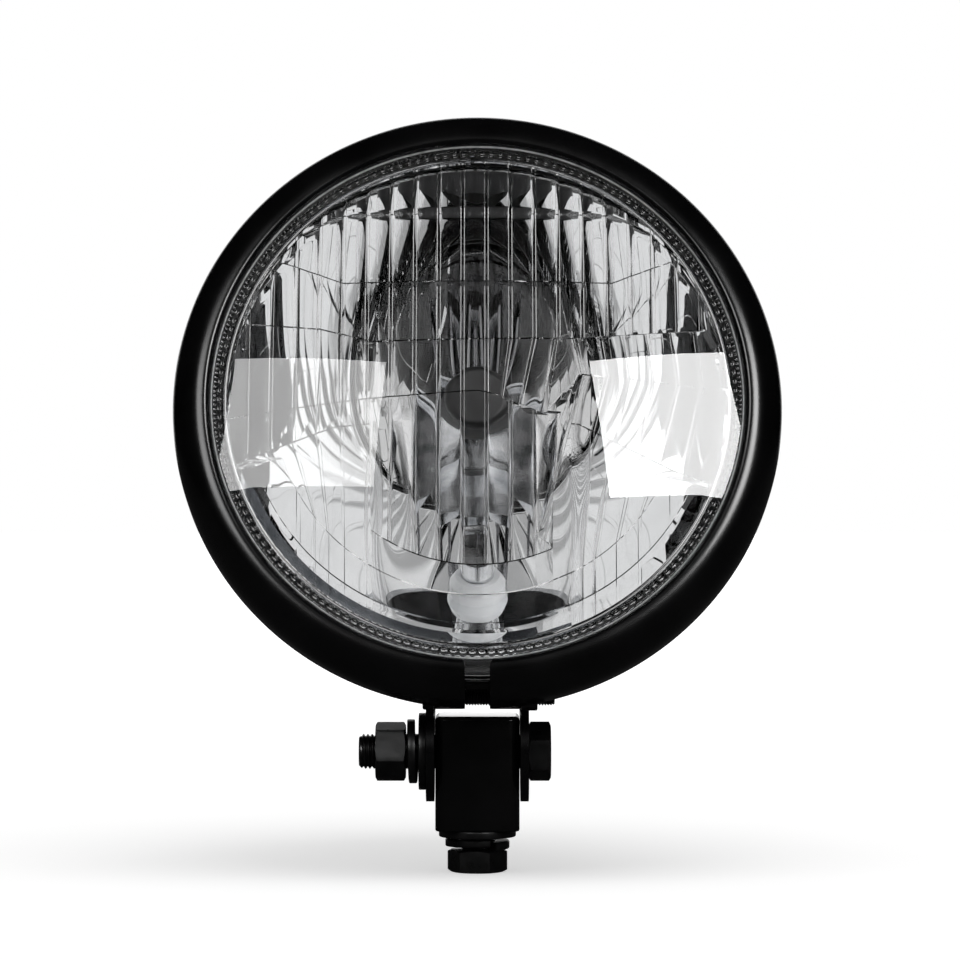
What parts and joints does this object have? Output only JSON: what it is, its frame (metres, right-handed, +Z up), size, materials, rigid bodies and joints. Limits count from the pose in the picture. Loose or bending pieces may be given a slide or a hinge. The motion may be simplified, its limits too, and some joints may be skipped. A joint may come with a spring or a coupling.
{
  "type": "round motorcycle headlight",
  "caption": "Round motorcycle headlight with a fluted glass, a split clamp rim, a bowl-shaped shell and a bottom swivel block with a mounting bolt.",
  "frame": {"origin": "centre of the swivel block's underside, on the axis of the mounting bolt", "axes": "+Z up along the mounting bolt, -Y towards the front of the lamp, +X to the right as seen from the front"},
  "size_m": [0.165, 0.1216, 0.2061],
  "materials": {
    "black_gloss": "gloss black enamel",
    "black_fastener": "black oxide, slightly satin",
    "lens_glass": "clear pressed glass",
    "bowl_mirror": "bright aluminised",
    "bulb_glass": "clear, with a dark painted tip",
    "bulb_metal": "plain plated steel",
    "brass_blade": "plain",
    "foot_plastic": "dark insulating moulding",
    "holder_plastic": "light grey moulding",
    "black_rubber": "matt"
  },
  "bodies": {
    "mount": {"swivel_block": "black_gloss", "mount_bolt": "black_fastener", "mount_lock_washer": "black_fastener", "mount_flat_washer": "black_fastener"},
    "head": {"shell": "black_gloss", "mount_bracket": "black_gloss", "bracket_rivets": "black_fastener", "cable_grommet": "black_rubber", "rim": "black_gloss", "rim_screw": "black_fastener", "rim_nut": "black_fastener", "lens": "lens_glass", "lens_seal": "black_rubber", "reflector": "bowl_mirror", "bulb_holder_ring": "bulb_metal", "bulb_glass": "bulb_glass", "bulb_shield": "bulb_metal", "bulb_filaments": "bulb_metal", "bulb_base": "bulb_metal", "bulb_insulator": "foot_plastic", "bulb_terminals": "brass_blade", "bulb_clip": "bulb_metal", "dust_boot": "black_rubber", "parking_bulb": "bulb_glass", "parking_bulb_base": "bulb_metal", "parking_holder": "holder_plastic", "cross_bolt": "black_fastener", "cross_nut": "black_fastener", "cross_lock_washer": "black_fastener", "cross_flat_washer": "black_fastener"}
  },
  "joints": [
    {"name": "head_tilt", "type": "hinge", "parent": "mount", "child": "head", "pos_m": [0, 0, 0.021], "axis": [-1, 0, 0], "range_deg": [-35, 15]}
  ]
}
